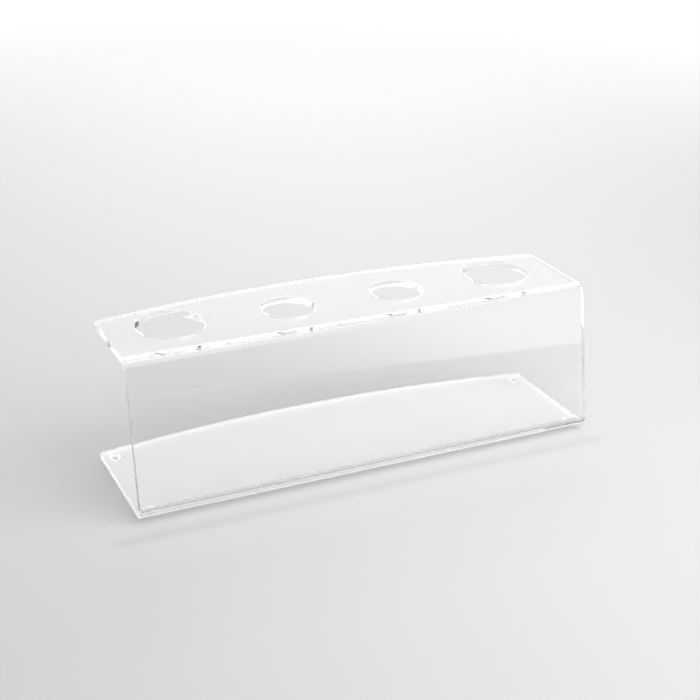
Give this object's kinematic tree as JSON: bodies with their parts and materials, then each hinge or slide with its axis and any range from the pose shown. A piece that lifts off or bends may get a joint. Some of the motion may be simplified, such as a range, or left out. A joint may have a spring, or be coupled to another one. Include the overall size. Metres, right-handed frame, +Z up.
{
  "type": "pipette stand",
  "caption": "Clear acrylic bench stand bent from one sheet into a C, with round holes in its raised shelf to hang pipettes in, on small clear feet.",
  "frame": {"origin": "middle of the floor area that the stand covers, on the surface that the feet stand on", "axes": "+X along the stand from its left end to its right end seen from the front, +Y from the front wall towards the open back, +Z up, along the axes of the holes"},
  "size_m": [0.36, 0.1173, 0.1158],
  "materials": {
    "clear_acrylic": "polished, water-clear",
    "clear_bumper": "clear soft polyurethane, glossy"
  },
  "bodies": {
    "root": {"acrylic_sheet": "clear_acrylic", "foot_back_left": "clear_bumper", "foot_back_right": "clear_bumper", "foot_front_left": "clear_bumper", "foot_front_right": "clear_bumper"}
  },
  "joints": []
}
